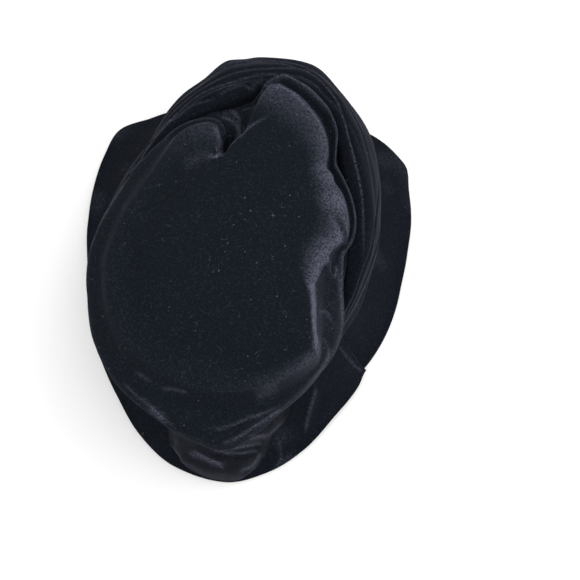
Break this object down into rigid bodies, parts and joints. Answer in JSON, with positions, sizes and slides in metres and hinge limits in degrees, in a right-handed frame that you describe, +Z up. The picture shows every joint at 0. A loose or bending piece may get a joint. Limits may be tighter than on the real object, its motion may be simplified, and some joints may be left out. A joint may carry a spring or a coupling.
{
  "type": "cloche hat",
  "caption": "Soft velvet cloche hat with a slouching beret-like tip, a draped band pleated round the crown and a turned-down brim with a lapped slit.",
  "frame": {"origin": "on the surface the hat rests on, under the middle of its outline", "axes": "+Z up out of the tip, +Y towards the front of the brim, +X towards the wearer's right"},
  "size_m": [0.2328, 0.28, 0.12],
  "materials": {
    "brim_velvet": "matt blue-black cotton velvet over a light stiffener",
    "lining_cloth": "smooth black lining cloth",
    "tip_velvet": "soft blue-black velvet with a pale sheen where the pile turns to the light",
    "band_velvet": "soft blue-black velvet, draped and folded"
  },
  "bodies": {
    "root": {"brim": "brim_velvet", "side_crown": "lining_cloth", "crown_tip": "tip_velvet", "draped_band": "band_velvet", "back_drape": "band_velvet"}
  },
  "joints": []
}
